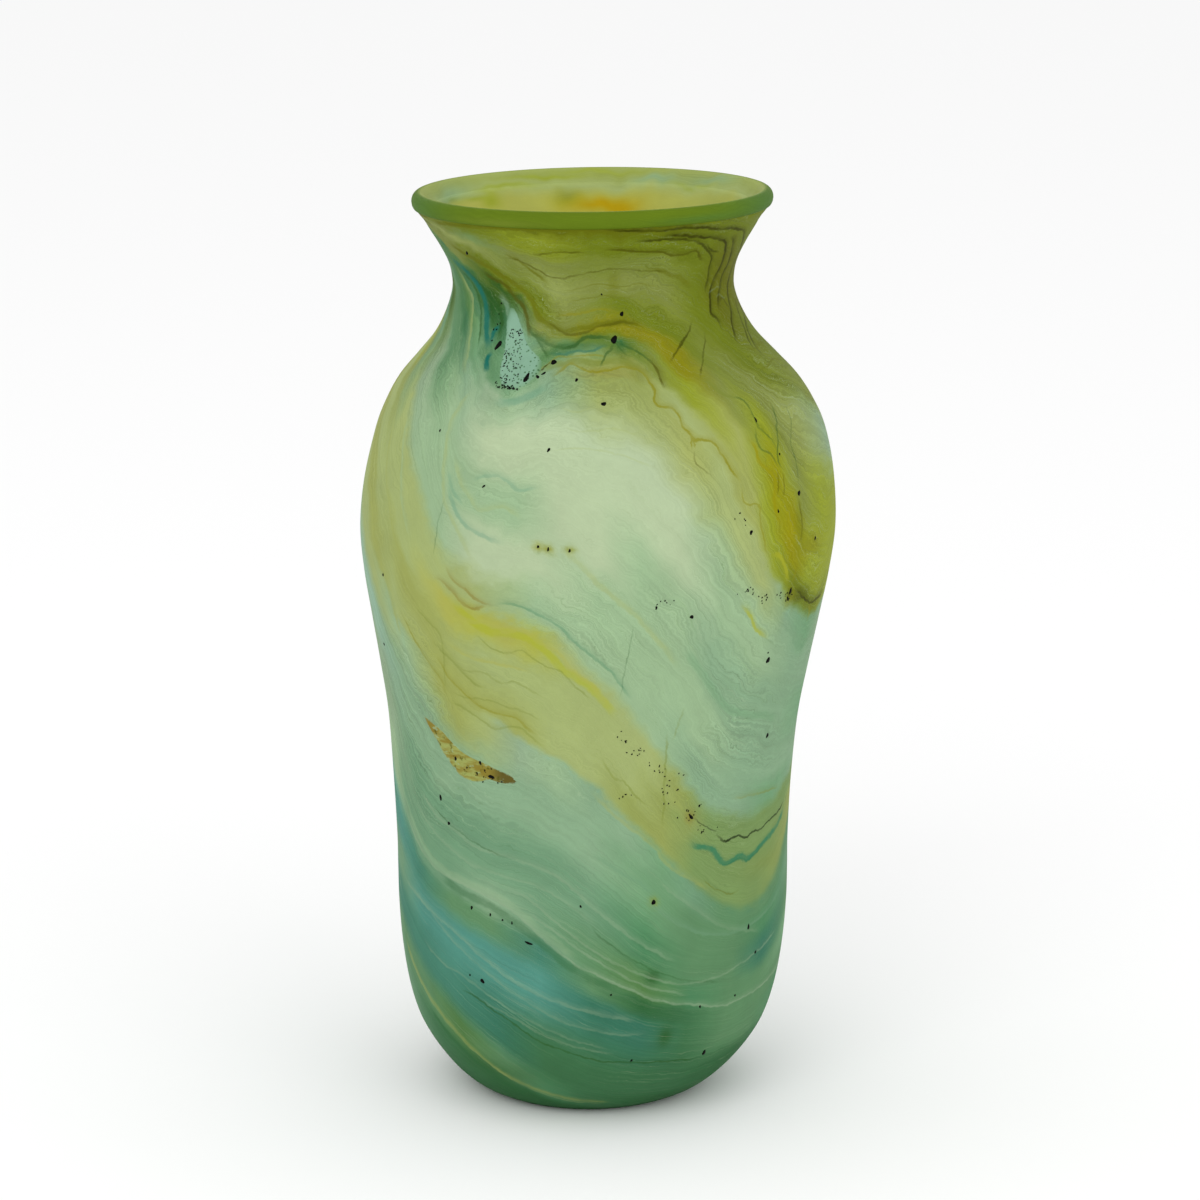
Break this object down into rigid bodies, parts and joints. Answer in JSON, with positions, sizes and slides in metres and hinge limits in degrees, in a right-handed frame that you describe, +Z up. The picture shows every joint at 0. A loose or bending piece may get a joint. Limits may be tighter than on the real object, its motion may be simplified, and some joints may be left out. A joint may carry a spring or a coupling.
{
  "type": "blown glass vase",
  "caption": "Hand blown satin glass vase with a flared lip, narrow neck, full shoulder and rounded base, cased in swirled green, teal and ochre glass.",
  "frame": {"origin": "centre of the resting ring under the vase, on the surface that it stands on", "axes": "+Z up along the vase's axis; the front of the pattern, with the amber shard low on the left, faces -Y; +X is to the right of that front"},
  "size_m": [0.14, 0.14, 0.27],
  "materials": {
    "opaline_glass": "satin",
    "marbled_glass": "satin",
    "olive_glass": "satin",
    "clear_green_glass": "satin",
    "amber_glass": "satin",
    "turquoise_glass": "satin"
  },
  "bodies": {
    "root": {"inner_gather": "opaline_glass", "marbled_overlay": "marbled_glass", "lip_wrap": "olive_glass", "pontil_seal": "clear_green_glass", "amber_shard": "amber_glass", "teal_shard": "turquoise_glass"}
  },
  "joints": []
}
